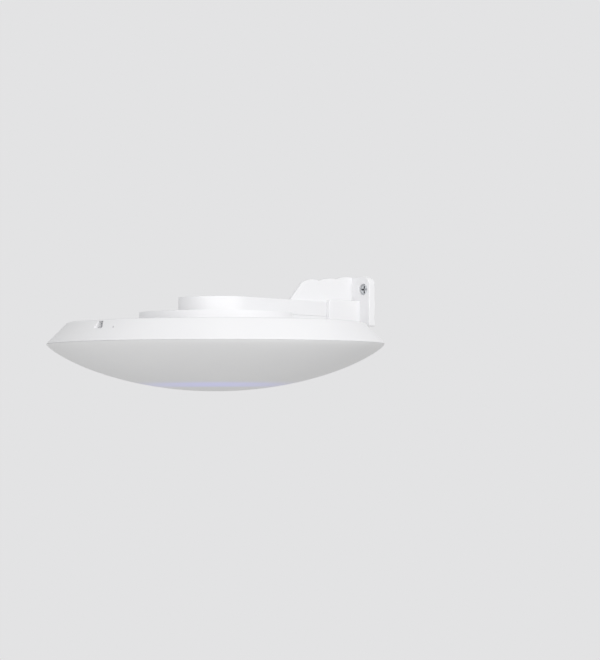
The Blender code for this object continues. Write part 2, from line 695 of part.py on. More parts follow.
def mount_base(finish, group):
    """Base disc with a tail under the arm, a cable hole and the four hooks of the twist lock."""
    solid = prism(arm_outline(BASE_RADIUS, tail_angle(), 50), BASE_LOW, BASE_HIGH)
    drills = [moved(prism(circle(BASE_HOLE_RADIUS, RING_STEPS), BASE_LOW - 1, BASE_HIGH + 1), y=BASE_HOLE_Y)]
    for x, y in BASE_SCREW_SPOTS:
        heights = (-BASE_HIGH - 1, -BASE_SCREW_STEP, 1 - BASE_LOW)
        drill = stepped_hole(BASE_SCREW_WELL, SCREW_HOLE, *heights)
        drills.append(moved(turned(drill, 180, "X"), x, y))
    solid = cut(join(solid, [t_hook(angle) for angle in HOOK_ANGLES]), drills)
    return add_piece("mount_base", solid, finish, group)


def foot_covers(finish, group):
    """Raised covers on both sides of the arm's foot."""
    inside, outside = CHEEK
    outline = rounded_rectangle((FOOT_START, ARM_END), CHEEK_Z, (CHEEK_CORNER, CHEEK_CORNER), 3)
    for name, side in (("foot_cover_right", 1), ("foot_cover_left", -1)):
        solid = sideways(prism(outline, inside, outside))
        solid = ease_edges(solid, lambda p: p.x > outside - 0.01, CHEEK_EDGE)
        solid.transform(Matrix.Scale(side, 4, (1, 0, 0)))
        add_piece(name, solid, finish, group)


def wall_plate(finish, group):
    """Plate on the wall: round upper corners, counterbored wall holes, cable hole, arm bolt holes."""
    corners = (PLATE_CORNER, PLATE_LOW_CORNER)
    outline = rounded_rectangle((-PLATE_HALF_WIDTH, PLATE_HALF_WIDTH), (PLATE_LOW, PLATE_HIGH), corners, 5)
    solid = facing_wall(prism(outline, PLATE_FRONT, RIM_TO_WALL))
    solid = ease_edges(solid, lambda p: p.y < PLATE_FRONT + 0.01, PLATE_EDGE)
    cable = rounded_rectangle(CHANNEL_X, CABLE_HOLE_Z, (CABLE_HOLE_CORNER, CABLE_HOLE_CORNER))
    drills = [facing_wall(prism(cable, PLATE_FRONT - 1, RIM_TO_WALL + 1))]
    for side in (-1, 1):
        wall = stepped_hole(*WALL_HOLE, -RIM_TO_WALL - 1, -WALL_HOLE_STEP, 1 - PLATE_FRONT)
        drills.append(moved(turned(wall, 90, "X"), side * WALL_SCREW_X, 0, WALL_SCREW_Z))
        bolt = stepped_hole(*ARM_BOLT_HOLE, PLATE_FRONT - 1, ARM_BOLT_STEP, RIM_TO_WALL + 1)
        drills.append(moved(turned(bolt, -90, "X"), side * ARM_BOLT_X, 0, ARM_BOLT_Z))
    return add_piece("wall_plate", cut(solid, drills), finish, group)


def mount_fasteners(finishes, group):
    """Wall screws, arm bolts from behind the plate and base screws from below."""
    wall_head = RIM_TO_WALL - WALL_SCREW[3]
    for name, side in (("right", 1), ("left", -1)):
        wall = moved(turned(screw(*WALL_SCREW), 90, "X"), side * WALL_SCREW_X, wall_head, WALL_SCREW_Z)
        add_piece(f"wall_screw_{name}", wall, finishes["zinc_steel"], group)
        bolt = turned(screw(*ARM_BOLT, recess=False), -90, "X")
        bolt = moved(bolt, side * ARM_BOLT_X, RIM_TO_WALL - HEAD_INSET, ARM_BOLT_Z)
        add_piece(f"arm_bolt_{name}", bolt, finishes["zinc_steel"], group)
    for i, (x, y) in enumerate(BASE_SCREW_SPOTS):
        base = moved(turned(screw(*BASE_SCREW, recess=False), 180, "X"), x, y, BASE_LOW + HEAD_INSET)
        add_piece(f"base_screw_{i + 1}", base, finishes["zinc_steel"], group)


def make_finishes():
    return {
        "white_plastic": material("white_plastic", (0.82, 0.82, 0.83), 0.45),
        "dome_plastic": material("dome_plastic", (0.80, 0.80, 0.81), 0.5),
        "black_plastic": material("black_plastic", (0.03, 0.03, 0.035), 0.5),
        "grey_plastic": material("grey_plastic", (0.3, 0.3, 0.31), 0.45),
        "grey_rubber": material("grey_rubber", (0.08, 0.08, 0.085), 0.8),
        "clear_guide": material("clear_guide", (0.75, 0.8, 0.95), 0.2),
        "circuit_board": material("circuit_board", (0.02, 0.12, 0.07), 0.4),
        "tinned_steel": material("tinned_steel", (0.62, 0.62, 0.6), 0.35, 1.0),
        "aluminium": material("aluminium", (0.68, 0.69, 0.7), 0.4, 1.0),
        "thermal_pad": material("thermal_pad", (0.35, 0.42, 0.55), 0.8),
        "ferrite": material("ferrite", (0.05, 0.045, 0.04), 0.6),
        "spring_steel": material("spring_steel", (0.5, 0.5, 0.5), 0.3, 1.0),
        "zinc_steel": material("zinc_steel", (0.55, 0.55, 0.54), 0.35, 1.0),
    }


def build():
    clear_scene()
    finishes = make_finishes()
    mount = group_empty("wall_mount")
    unit = group_empty("access_point")
    wall_plate(finishes["white_plastic"], mount)
    arm_shell(finishes["white_plastic"], mount)
    mount_base(finishes["white_plastic"], mount)
    foot_covers(finishes["white_plastic"], mount)
    mount_fasteners(finishes, mount)
    radome(finishes["dome_plastic"], unit)
    rear_cover(finishes["white_plastic"], unit)
    socket_cup(finishes["white_plastic"], unit)
    rim_gasket(finishes["grey_rubber"], unit)
    round_board("main_board", BOARD_RADIUS, BOARD_Z, finishes["circuit_board"], unit)
    round_board("antenna_plate", BOARD_RADIUS, ANTENNA_PLATE_Z, finishes["aluminium"], unit)
    heat_spreader(finishes["aluminium"], unit)
    board_blocks(finishes, unit)
    ethernet_jack(finishes["black_plastic"], unit)
    antennas(finishes["tinned_steel"], unit)
    ring("led_board", LED_BOARD, LED_BOARD_Z, finishes["circuit_board"], unit)
    ring("light_guide", LIGHT_GUIDE, (LIGHT_GUIDE_LOW, LED_BOARD_Z[0] - GAP), finishes["clear_guide"], unit)
    housing_screws(finishes["zinc_steel"], unit)
    reset_parts(finishes, unit)
    release_latch(finishes, unit)


build()
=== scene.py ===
import json
import math

import bmesh
import bpy
from mathutils import Matrix, Vector


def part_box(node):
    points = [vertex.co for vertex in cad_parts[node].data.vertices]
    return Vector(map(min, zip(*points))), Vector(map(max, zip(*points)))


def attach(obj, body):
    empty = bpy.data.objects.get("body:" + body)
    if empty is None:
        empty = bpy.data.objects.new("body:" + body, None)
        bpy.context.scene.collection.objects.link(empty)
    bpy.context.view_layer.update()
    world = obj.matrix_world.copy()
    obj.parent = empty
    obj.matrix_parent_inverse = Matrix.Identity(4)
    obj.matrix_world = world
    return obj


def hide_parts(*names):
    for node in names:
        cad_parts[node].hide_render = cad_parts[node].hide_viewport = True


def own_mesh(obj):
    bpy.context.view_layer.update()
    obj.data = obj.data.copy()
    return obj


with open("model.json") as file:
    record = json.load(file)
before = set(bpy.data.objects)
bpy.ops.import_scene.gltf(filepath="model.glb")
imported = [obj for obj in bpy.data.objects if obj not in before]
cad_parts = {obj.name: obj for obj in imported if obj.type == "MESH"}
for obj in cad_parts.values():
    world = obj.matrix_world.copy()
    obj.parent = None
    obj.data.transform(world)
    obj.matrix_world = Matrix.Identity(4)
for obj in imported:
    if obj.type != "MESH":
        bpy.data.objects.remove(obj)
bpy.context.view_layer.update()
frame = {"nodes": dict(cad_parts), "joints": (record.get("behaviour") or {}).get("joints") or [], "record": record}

# Lengths are millimetres round the centre of the unit's rim: x to the right, y towards the wall, z up.
# add_piece turns them into metres in the part's frame. Moving pieces are a GAP apart and fixed ones a SEAM,
# cutters run CLEAR of the faces that they cut, and joined solids reach JOIN_OVERLAP into each other.
MM = 0.001
GAP = 0.3
SEAM = 0.08
CLEAR = 1.0
JOIN_OVERLAP = 0.5
SMOOTH_ANGLE = math.radians(35)
TWIST_JOINT = next(joint for joint in frame["joints"] if joint["name"] == "twist_lock")
RIM_CENTRE = Vector(TWIST_JOINT["pos_m"]) / MM
BODY_OF = {node: body for body, nodes in frame["record"]["behaviour"]["bodies"].items() for node in nodes}
SLOT_OF = {part["node"]: part["material_slot"] for part in frame["record"]["subparts"]}


def span(node):
    """Lowest and highest corner of a CAD node, in millimetres round the rim's centre."""
    return [corner / MM - RIM_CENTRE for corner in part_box(node)]


# Unit: dome below the rim, chamfered cover above it
RIM_RADIUS = span("rear_cover")[1].x
DOME_DEPTH = -span("radome")[0].z
BACK_Z = span("rear_cover")[1].z
DOME_FULLNESS = 0.78
DOME_WALL = 2.2
DOME_INNER_RADIUS = 107.0
RIM_FLANGE_RADIUS = 103.5
RIM_SEAM = SEAM / 2
RIM_LAND = 0.5
RIM_EDGE = 0.25
RIM_LOW_EDGE = 0.1
RIM_BREAK = (0.12, 0.06)
RIM_ANGLES = (89.2, 88, 86)
BACK_WALL = 2.0
CHAMFER_SUM = RIM_RADIUS + RIM_LAND
CHAMFER_INNER_SUM = 107.2
BACK_CORNER_RADIUS = 3.0
SHELL_STEPS = 240
BOSS_CIRCLE = 84.0
BOSS_ANGLES = [45, 135, 225, 315]
BOSS_TOP = 6.2
BOSS_SHOULDER = -2.6
BOSS_RADIUS = 3.4
BOSS_FOOT_RADIUS = 4.6
BOSS_DRILL = (1.6, -9.0)
COVER_BOSS_RADIUS = 4.4
COVER_BOSS_LOW = BOSS_TOP + 0.4
HEAD_WELL = (3.3, 1.7)
HEAD_WELL_FLOOR = 10.8
WELL = ((-10.0, 10.0), (-4.0, 24.0), (2.5, BACK_Z + CLEAR))
WELL_WALL = 1.6
WELL_FLOOR = 1.4
WELL_CORNER = 0.8
SOCKET_WINDOW = ((-6.4, 6.4), (2.7, 10.9))

# Release slot, latch and reset pinhole in the chamfer
SLOT_LOW = 8.2
SLOT_HIGH = 13.0
SLOT_LOW_X = (-4.0, 4.6)
SLOT_HIGH_X = (-4.0, 0.3)
SLOT_BACK = -94.0
SLOT_CORNER = 0.5
SLOT_SPLAY = 0.2
POCKET_WALL = 1.2
POCKET_BACK = -95.0
RAIL_X = (3.6, 5.0)
RAIL_Y = (-92.0, -52.0)
RAIL_LOW = 8.0
LATCH_FRONT, LATCH_INNER = (corner.y for corner in span("release_latch"))
LATCH_HALF_WIDTH = span("release_latch")[1].x
LATCH_PAD_Z = (8.6, 11.7)
LATCH_PAD_DEPTH = 2.0
LATCH_LOW = 8.8
LATCH_HIGH = 11.2
LATCH_NOSE = (-48.5, -45.5)
LATCH_NOSE_BREAK = 0.8
LATCH_EDGE = 0.2
LATCH_TRAVEL = 3.0
NOSE_WINDOW_HALF_WIDTH = 3.0
NOSE_WINDOW_LOW = 11.6
PAD_RIDGES = 4
RIDGE_DEPTH = 0.3
RIDGE_SHARE = 0.6
GROOVE_SHARE = 0.8
SPRING_STOP = -33.5
SPRING_STOP_X = (-4.0, 4.0)
SPRING_STOP_THICK = 1.6
SPRING_WIRE = 0.22
SPRING_COILS = 8
COIL_STEPS = 20
WIRE_SIDES = 8
PINHOLE_RADIUS = 0.5
PINHOLE_ANGLE = -90 + 7.6
PINHOLE_Z = 8.5
PINHOLE_DEPTH = 93.0

# Twist lock
HOOK_RADIUS = 36.0
HOOK_HALF_WIDTH = 2.5
HOOK_STEM = 1.8
HOOK_FOOT = 4.4
HOOK_LOW = 8.6
HOOK_STEP = 11.4
HOOK_ANGLES = [45, 135, 225, 315]
KEYHOLE_STEM = 2.6
KEYHOLE_FOOT = 5.2
TWIST = 18.0
SLOT_END = 5.5

# Wall arm: plate, arm that narrows from a round front to its foot, rib on top, base disc below
PLATE_HALF_WIDTH = span("wall_plate")[1].x
PLATE_FRONT, RIM_TO_WALL = (corner.y for corner in span("wall_plate"))
PLATE_LOW, PLATE_HIGH = (corner.z for corner in span("wall_plate"))
PLATE_CORNER = 6.0
PLATE_LOW_CORNER = 1.0
PLATE_EDGE = 0.9
PLATE_BACK_EDGE = 0.3
ARM_RADIUS = span("arm_shell")[1].x
ARM_LOW = span("arm_shell")[0].z
ARM_END = PLATE_FRONT - SEAM
ARM_TAPER = 11.0
ARM_EDGE = 0.4
INNER_EDGE = 0.1
RING_TOP = 30.6
CHEEK_CORNER = 1.5
CHEEK_EDGE = 0.9
FOOT_START = span("foot_cover_right")[0].y
FOOT_HALF_WIDTH = span("foot_cover_right")[0].x - GAP
BASE_RADIUS = span("mount_base")[1].x
BASE_GAP = 0.5
BASE_LOW = BACK_Z + BASE_GAP
BASE_HIGH = ARM_LOW - SEAM
BASE_EDGE = 0.2
BASE_LOW_EDGE = 0.3
BASE_HOLE_RADIUS = 19.0
BASE_HOLE_Y = 6.0

# Rib on the arm's top: a ramp, then three crowned steps as (start, end, end height, crown). Its foot runs
# on a little inside the arm, so that the fillet before the ramp grows out of the arm's top.
RIB_HALF_WIDTH = 1.3
RIB_EDGE = 0.5
RIB_END = PLATE_FRONT + RIB_EDGE
RIB_LOW = 28.0
RIB_START = 60.0
RIB_FOOT = RING_TOP - 0.05
RAMP = [(67.0, RIB_FOOT), (79.2, 43.24)]
RAMP_FILLETS = (6.0, 4.0)
VALLEY_FILLET = 1.5
CROWNED_STEPS = [(79.2, 95.8, 44.8, 1.6), (95.8, 112.5, 46.5, 1.15), (112.5, RIB_END, 48.2, 1.0)]
CROWN_POINTS = 20

# Hollow front of the arm, cable channel and plate hole
HOLLOW_RADIUS = 22.0
HOLLOW_TOP = 28.2
HOLLOW_REAR = ((-13.0, 13.0), (0.0, 27.0))
HOLLOW_REAR_TOP = HOLLOW_TOP - 0.1
CHANNEL_X = (-3.4, 3.4)
CHANNEL_START = 20.0
CHANNEL_TOP = 26.6
CABLE_HOLE_Z = (ARM_LOW + 0.2, CHANNEL_TOP - 0.2)
CABLE_HOLE_CORNER = 1.5

# Fasteners as head radius, head height, shank radius and whole length, holes as wide and narrow radius
WALL_HOLE = (3.8, 2.0)
WALL_SCREW = (WALL_HOLE[0] - SEAM, 1.8, 1.6, 4.3)
ARM_BOLT = (1.7, 1.2, 0.85, 12.0)
BASE_SCREW = (3.0, 1.9, 1.4, 14.0)
HOUSING_SCREW = (2.8, 2.0, 1.3, 20.0)
HOUSING_SCREW_TOP = 13.1
SCREW_HOLE = 1.7
WALL_SCREW_X = 11.5
WALL_SCREW_Z = 39.7
WALL_HOLE_STEP = PLATE_FRONT + 3.2
ARM_BOLT_X = 3.2
ARM_BOLT_Z = 28.9
ARM_BOLT_HOLE = (2.0, 1.1)
ARM_BOLT_STEP = RIM_TO_WALL - 1.7
ARM_BOLT_DEPTH = 119.5
HEAD_INSET = 0.2
BASE_SCREW_SPOTS = [(-10.0, 42.0), (10.0, 42.0), (-7.0, 64.0), (7.0, 64.0)]
BASE_SCREW_WELL = 3.4
BASE_SCREW_STEP = 17.0
BASE_SCREW_DEPTH = 29.2
SCREW_STEPS = 40
HOLE_EDGE = 0.35

# Screw heads, as shares of a head's radius across and of its height down where no unit is named
HEAD_CROWN = 0.12
HEAD_ROUND = 0.35
HEAD_LOW_EDGE_MM = 0.1
SHANK_EDGE_MM = 0.3
RECESS_WING = 0.7
RECESS_HALF_WIDTH = 0.16
RECESS_DEPTH = 0.8
POINT_MOUTH = 0.3
POINT_SPREAD = 0.34
POINT_DEPTH = 1.3
POINT_STEPS = 24
# Painted shade in screw recesses: how far it looks for nearby faces, in mm, and the openness over which it fades
RECESS_SHADE_REACH_MM = 1.5
RECESS_SHADE_OPEN = (0.25, 0.75)

# Glow round the lowest part of the dome
GLOW_RADIUS = 43.0
GLOW_HALF_WIDTH = 13.0
GLOW_STRENGTH = 0.21
GLOW_LAMP_WAY = (math.sqrt(0.5), -math.sqrt(0.5), 0.0)
GLOW_BETWEEN_LAMPS = 0.35
GLOW_COLOUR = "#2a3cff"

# Stage in metres, with lamps as watts, diameter and place
FLOOR_Z = -1.6
FLOOR_RADIUS = 12.0
FLOOR_FADE_START = FLOOR_RADIUS / 3
FLOOR_PALENESS = 0.5
FLOOR_COLOUR = "#f0f0f0"
BACKGROUND = "#e3e3e4"
ROOM_LEVEL = 0.56
KEY_LAMP = (17.7, 1.2, (1.9, -0.1, 1.08))
FILL_LAMP = (12.3, 1.2, (1.1, -2.0, -0.02))
LAMP_AIM = (0.0, -0.1, -0.02)
CAMERA_PLACE = (1.27844, -1.34786, -0.08327)
CAMERA_PITCH = 1.984
CAMERA_YAW = 44.684
CAMERA_ROLL = 0.13
LENS_MM = 147.6
SENSOR_MM = 36.0


# Meshes

def face_out(solid):
    """Turn every face of a closed solid outwards."""
    bmesh.ops.recalc_face_normals(solid, faces=solid.faces)
    if solid.calc_volume(signed=True) < 0:
        bmesh.ops.reverse_faces(solid, faces=solid.faces)
    return solid


def add_piece(name, solid, finishes, *nodes):
    """Smooth object from a bmesh, riding on the body of the CAD nodes that it stands for."""
    face_out(solid)
    solid.transform(Matrix.Scale(MM, 4) @ Matrix.Translation(RIM_CENTRE))
    mesh = bpy.data.meshes.new(name)
    solid.to_mesh(mesh)
    solid.free()
    mesh.materials.clear()
    mesh.materials.append(finishes[SLOT_OF[nodes[0]]])
    mesh.shade_smooth()
    mesh.set_sharp_from_angle(angle=SMOOTH_ANGLE)
    piece = bpy.data.objects.new(name, mesh)
    bpy.context.scene.collection.objects.link(piece)
    even = piece.modifiers.new("large_faces_lead", "WEIGHTED_NORMAL")
    even.keep_sharp = True
    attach(piece, BODY_OF[nodes[0]])
    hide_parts(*nodes)
    return piece


def skin(solid, ring, next_ring):
    """Faces between two rings of vertices, either of which may be a single point on the axis."""
    count = max(len(ring), len(next_ring))
    if count == 1:
        return
    for i in range(count):
        j = (i + 1) % count
        corners = [ring[i % len(ring)], ring[j % len(ring)]]
        corners += [next_ring[j % len(next_ring)], next_ring[i % len(next_ring)]]
        solid.faces.new(list(dict.fromkeys(corners)))


def lathe(profile, steps):
    """Closed solid turned round the z axis from (radius, height) points."""
    solid = bmesh.new()
    turns = [2 * math.pi * i / steps for i in range(steps)]
    rings = []
    for radius, height in profile:
        spots = [(radius * math.cos(a), radius * math.sin(a), height) for a in (turns if radius else [0.0])]
        rings.append([solid.verts.new(spot) for spot in spots])
    for ring, next_ring in zip(rings, rings[1:] + rings[:1]):
        skin(solid, ring, next_ring)
    return face_out(solid)


def prism(outline, low, high):
    """Closed solid with an outline of (x, y) points between two heights."""
    solid = bmesh.new()
    bottom = [solid.verts.new((x, y, low)) for x, y in outline]
    top = [solid.verts.new((x, y, high)) for x, y in outline]
    solid.faces.new(bottom)
    solid.faces.new(top)
    skin(solid, bottom, top)
    return face_out(solid)


def eased_prism(outline, low, high, low_edge, high_edge, steps=5):
    """Closed solid over an outline, with its lower and upper edges rounded."""
    solid = bmesh.new()
    points = [Vector(point) for point in outline]
    if sum(points[i - 1].cross(points[i]) for i in range(len(points))) < 0:
        points.reverse()
    mitres = []
    for i, point in enumerate(points):
        before = (point - points[i - 1]).normalized()
        after = (points[(i + 1) % len(points)] - point).normalized()
        out_before, out_after = Vector((before.y, -before.x)), Vector((after.y, -after.x))
        mitres.append((out_before + out_after) / (1 + out_before.dot(out_after)))
    quarter = [math.radians(90 * i / steps) for i in range(steps + 1)]
    rows = [(low_edge * (1 - math.sin(a)), low + low_edge * (1 - math.cos(a))) for a in quarter]
    rows += [(high_edge * (1 - math.cos(a)), high - high_edge * (1 - math.sin(a))) for a in quarter]
    rings = []
    for inset, z in rows:
        rings.append([solid.verts.new((*(p - m * inset), z)) for p, m in zip(points, mitres)])
    for ring, next_ring in zip(rings, rings[1:]):
        skin(solid, ring, next_ring)
    solid.faces.new(rings[0])
    solid.faces.new(rings[-1])
    return face_out(solid)


def box(x_range, y_range, z_range):
    """Block between two limits on each axis."""
    (x0, x1), (y0, y1) = x_range, y_range
    return prism([(x0, y0), (x1, y0), (x1, y1), (x0, y1)], *z_range)


def arc(centre, radius, start, end, steps):
    """Points on a circular arc between two angles in degrees, both ends included."""
    angles = [math.radians(start + (end - start) * i / steps) for i in range(steps + 1)]
    return [(centre[0] + radius * math.cos(a), centre[1] + radius * math.sin(a)) for a in angles]


def rounded(corners, steps=6):
    """Outline through (x, y, radius) corners, each replaced by an arc where its radius isn't 0."""
    outline = []
    for i, (x, y, radius) in enumerate(corners):
        corner = Vector((x, y))
        if not radius:
            outline.append((x, y))
            continue
        back = (Vector(corners[i - 1][:2]) - corner).normalized()
        on = (Vector(corners[(i + 1) % len(corners)][:2]) - corner).normalized()
        half = back.angle(on) / 2
        centre = corner + (back + on).normalized() * radius / math.sin(half)
        first = corner + back * radius / math.tan(half) - centre
        last = corner + on * radius / math.tan(half) - centre
        start = math.degrees(math.atan2(first.y, first.x))
        turn = (math.degrees(math.atan2(last.y, last.x)) - start + 180) % 360 - 180
        outline += arc(centre, radius, start, start + turn, steps)
    return outline


def rounded_rectangle(x_range, y_range, radius, steps=8):
    """Rectangle outline with four equal round corners."""
    (x0, x1), (y0, y1) = x_range, y_range
    return rounded([(x0, y0, radius), (x1, y0, radius), (x1, y1, radius), (x0, y1, radius)], steps)


def moved(solid, x=0.0, y=0.0, z=0.0):
    solid.transform(Matrix.Translation((x, y, z)))
    return solid


def turned(solid, degrees, axis="Z"):
    solid.transform(Matrix.Rotation(math.radians(degrees), 4, axis))
    return solid


def facing_wall(solid):
    """Stand a solid drawn as x, height, depth up so that its height is z and its depth is y."""
    solid.transform(Matrix(((1, 0, 0, 0), (0, 0, 1, 0), (0, 1, 0, 0), (0, 0, 0, 1))))
    return face_out(solid)


def sideways(solid):
    """Stand a solid drawn as y, z, x so that its third direction is x."""
    solid.transform(Matrix(((0, 0, 1, 0), (1, 0, 0, 0), (0, 1, 0, 0), (0, 0, 0, 1))))
    return face_out(solid)


def together(solids):
    """One bmesh that holds several bodies that don't meet."""
    whole = bmesh.new()
    for solid in solids:
        mesh = bpy.data.meshes.new("body")
        solid.to_mesh(mesh)
        solid.free()
        whole.from_mesh(mesh)
        bpy.data.meshes.remove(mesh)
    return whole


def boolean(solid, tool, operation):
    """Bmesh left by a Boolean of two closed bmeshes."""
    helpers = []
    for shape in (solid, tool):
        mesh = bpy.data.meshes.new("helper")
        shape.to_mesh(mesh)
        shape.free()
        helper = bpy.data.objects.new("helper", mesh)
        bpy.context.scene.collection.objects.link(helper)
        helpers.append(helper)
    step = helpers[0].modifiers.new("step", "BOOLEAN")
    step.operation = operation
    step.object = helpers[1]
    result = bmesh.new()
    result.from_object(helpers[0], bpy.context.evaluated_depsgraph_get())
    for helper in helpers:
        mesh = helper.data
        bpy.data.objects.remove(helper)
        bpy.data.meshes.remove(mesh)
    return result


def cut(solid, tools):
    return boolean(solid, together(tools), "DIFFERENCE")


def join(solid, additions):
    return boolean(solid, together(additions), "UNION")


def polar(radius, degrees):
    return radius * math.cos(math.radians(degrees)), radius * math.sin(math.radians(degrees))


def drill(radius, low, high, x=0.0, y=0.0):
    """Upright cylinder used to drill a hole."""
    return moved(lathe([(0.0, high), (radius, high), (radius, low), (0.0, low)], SCREW_STEPS), x, y)


def stepped_drill(wide, narrow, low, step, face, x=0.0, y=0.0):
    """Upright drill with a wide upper part, which breaks the edge where it leaves the face."""
    profile = [
        (0.0, face + CLEAR), (wide + HOLE_EDGE + CLEAR, face + CLEAR), (wide, face - HOLE_EDGE),
        (wide, step), (narrow, step), (narrow, low), (0.0, low),
    ]
    return moved(lathe(profile, SCREW_STEPS), x, y)


# Unit

def dome_z(radius):
    """Height of the dome's outer face, a cap that is a little fuller than a sphere."""
    return -DOME_DEPTH * (1 - (radius / RIM_RADIUS) ** 2) ** DOME_FULLNESS


def dome_inner_z(radius):
    return -(DOME_DEPTH - DOME_WALL) * (1 - (radius / DOME_INNER_RADIUS) ** 2) ** DOME_FULLNESS


def screw_post(x, y):
    """Post inside the dome for one housing screw, sunk half into the dome's wall."""
    foot = DOME_WALL - DOME_DEPTH
    profile = [
        (0.0, BOSS_TOP), (BOSS_RADIUS, BOSS_TOP), (BOSS_RADIUS, BOSS_SHOULDER),
        (BOSS_FOOT_RADIUS, BOSS_SHOULDER), (BOSS_FOOT_RADIUS, foot), (0.0, foot),
    ]
    post = moved(lathe(profile, SCREW_STEPS), x, y)
    for vertex in post.verts:
        if vertex.co.z < BOSS_SHOULDER - CLEAR:
            radius = vertex.co.xy.length
            vertex.co.z = (dome_z(radius) + dome_inner_z(radius)) / 2
    return post


def dome(finishes):
    """Dome with a thick rim and four screw posts inside."""
    seam_radius = RIM_RADIUS * math.sqrt(1 - (RIM_SEAM / DOME_DEPTH) ** (1 / DOME_FULLNESS))
    outer = [seam_radius * math.sin(math.radians(a)) for a in (*RIM_ANGLES, *range(84, 2, -2))]
    inner = [RIM_FLANGE_RADIUS * math.sin(math.radians(a)) for a in range(10, 91, 5)]
    profile = [(seam_radius - RIM_BREAK[0], -RIM_SEAM), (seam_radius, -RIM_SEAM - RIM_BREAK[1])]
    profile += [(r, dome_z(r)) for r in outer]
    profile += [(0.0, -DOME_DEPTH), (0.0, DOME_WALL - DOME_DEPTH)]
    profile += [(r, dome_inner_z(r)) for r in inner]
    profile += [(RIM_FLANGE_RADIUS, -RIM_SEAM)]
    spots = [polar(BOSS_CIRCLE, angle) for angle in BOSS_ANGLES]
    solid = join(lathe(profile, SHELL_STEPS), [screw_post(x, y) for x, y in spots])
    solid = cut(solid, [drill(*BOSS_DRILL, BOSS_TOP + CLEAR, x, y) for x, y in spots])
    return add_piece("dome", solid, finishes, "radome")


def keyhole_slot(start):
    """Arc slot for one T hook: narrow from the locked place, wide at the end of the twist."""
    first, last = start - SLOT_END, start + TWIST + SLOT_END
    widen = last - 2 * SLOT_END
    outline = arc((0, 0), HOOK_RADIUS - KEYHOLE_STEM, first, widen, 12)
    outline += arc((0, 0), HOOK_RADIUS - KEYHOLE_FOOT, widen, last, 8)
    outline += arc((0, 0), HOOK_RADIUS + KEYHOLE_FOOT, last, widen, 8)
    outline += arc((0, 0), HOOK_RADIUS + KEYHOLE_STEM, widen, first, 12)
    return prism(outline, BACK_Z - BACK_WALL - CLEAR, BACK_Z + CLEAR)


def release_pocket():
    """Wedge inside the chamfer that gives the release slot its side walls and floor."""
    middle = (CHAMFER_SUM + CHAMFER_INNER_SUM) / 2
    low, high = SLOT_LOW - POCKET_WALL, BACK_Z - BACK_WALL + JOIN_OVERLAP
    side = [(low - middle, low), (high - middle, high), (POCKET_BACK, high), (POCKET_BACK, low)]
    return sideways(prism(side, SLOT_LOW_X[0] - POCKET_WALL, SLOT_LOW_X[1] + POCKET_WALL))


def release_slot():
    """Cutter for the release slot, which narrows upwards, and for the latch pad's room behind it.

    The slot's left wall is splayed, so that it catches light from the front.
    """
    corners = [(x, SLOT_LOW, SLOT_CORNER) for x in SLOT_LOW_X]
    corners += [(x, SLOT_HIGH, SLOT_CORNER) for x in reversed(SLOT_HIGH_X)]
    slot = facing_wall(prism(rounded(corners, 4), -RIM_RADIUS, SLOT_BACK))
    for vertex in slot.verts:
        if vertex.co.x < SLOT_LOW_X[0] + 2 * SLOT_CORNER:
            vertex.co.x += SLOT_SPLAY * (vertex.co.y + CHAMFER_SUM - vertex.co.z)
    half = LATCH_HALF_WIDTH + GAP
    room_z = (LATCH_PAD_Z[0] - GAP, BACK_Z - BACK_WALL)
    return join(slot, [box((-half, half), (LATCH_FRONT - GAP, SLOT_BACK + GAP), room_z)])


def socket_well():
    """Cutter for the well over the network socket."""
    return prism(rounded_rectangle(WELL[0], WELL[1], WELL_CORNER, 3), *WELL[2])


def pinhole():
    """Drill for the reset pinhole, laid down along its radius."""
    upright = drill(PINHOLE_RADIUS, PINHOLE_DEPTH, RIM_RADIUS)
    return turned(moved(turned(upright, 90, "Y"), z=PINHOLE_Z), PINHOLE_ANGLE)


def back_cover(finishes):
    """Chamfered cover with the socket well, screw posts, latch rails and all its openings."""
    inner_back = BACK_Z - BACK_WALL
    profile = rounded([
        (RIM_RADIUS, RIM_SEAM, RIM_LOW_EDGE), (RIM_RADIUS, RIM_LAND, RIM_EDGE),
        (CHAMFER_SUM - BACK_Z, BACK_Z, BACK_CORNER_RADIUS), (0.0, BACK_Z, 0), (0.0, inner_back, 0),
        (CHAMFER_INNER_SUM - inner_back, inner_back, 0), (CHAMFER_INNER_SUM - RIM_SEAM, RIM_SEAM, 0),
    ])
    (x0, x1), (y0, y1), (z0, _) = WELL
    overlap = inner_back + JOIN_OVERLAP
    additions = [
        box((x0 - WELL_WALL, x1 + WELL_WALL), (y0 - WELL_WALL, y1 + WELL_WALL), (z0 - WELL_FLOOR, overlap)),
        box((-RAIL_X[1], -RAIL_X[0]), RAIL_Y, (RAIL_LOW, overlap)),
        box(RAIL_X, RAIL_Y, (RAIL_LOW, overlap)),
        box(SPRING_STOP_X, (SPRING_STOP, SPRING_STOP + SPRING_STOP_THICK), (RAIL_LOW, overlap)),
        release_pocket(),
    ]
    nose_x = (-NOSE_WINDOW_HALF_WIDTH, NOSE_WINDOW_HALF_WIDTH)
    nose_y = (LATCH_NOSE[0] - 2 * GAP, LATCH_NOSE[1] + LATCH_TRAVEL + 2 * GAP)
    nose_window = box(nose_x, nose_y, (NOSE_WINDOW_LOW, BACK_Z + CLEAR))
    cuts = [socket_well(), release_slot(), nose_window, pinhole()]
    for angle in BOSS_ANGLES:
        x, y = polar(BOSS_CIRCLE, angle)
        additions.append(drill(COVER_BOSS_RADIUS, COVER_BOSS_LOW, overlap, x, y))
        cuts.append(stepped_drill(*HEAD_WELL, BOSS_TOP - CLEAR, HEAD_WELL_FLOOR, BACK_Z, x, y))
    cuts += [keyhole_slot(angle) for angle in HOOK_ANGLES]
    window_x, window_z = SOCKET_WINDOW
    socket_window = box(window_x, (y0 - WELL_WALL - CLEAR, y0 + CLEAR), window_z)
    solid = cut(cut(join(lathe(profile, SHELL_STEPS), additions), cuts), [socket_window])
    return add_piece("back_cover", solid, finishes, "rear_cover", "socket_cup")


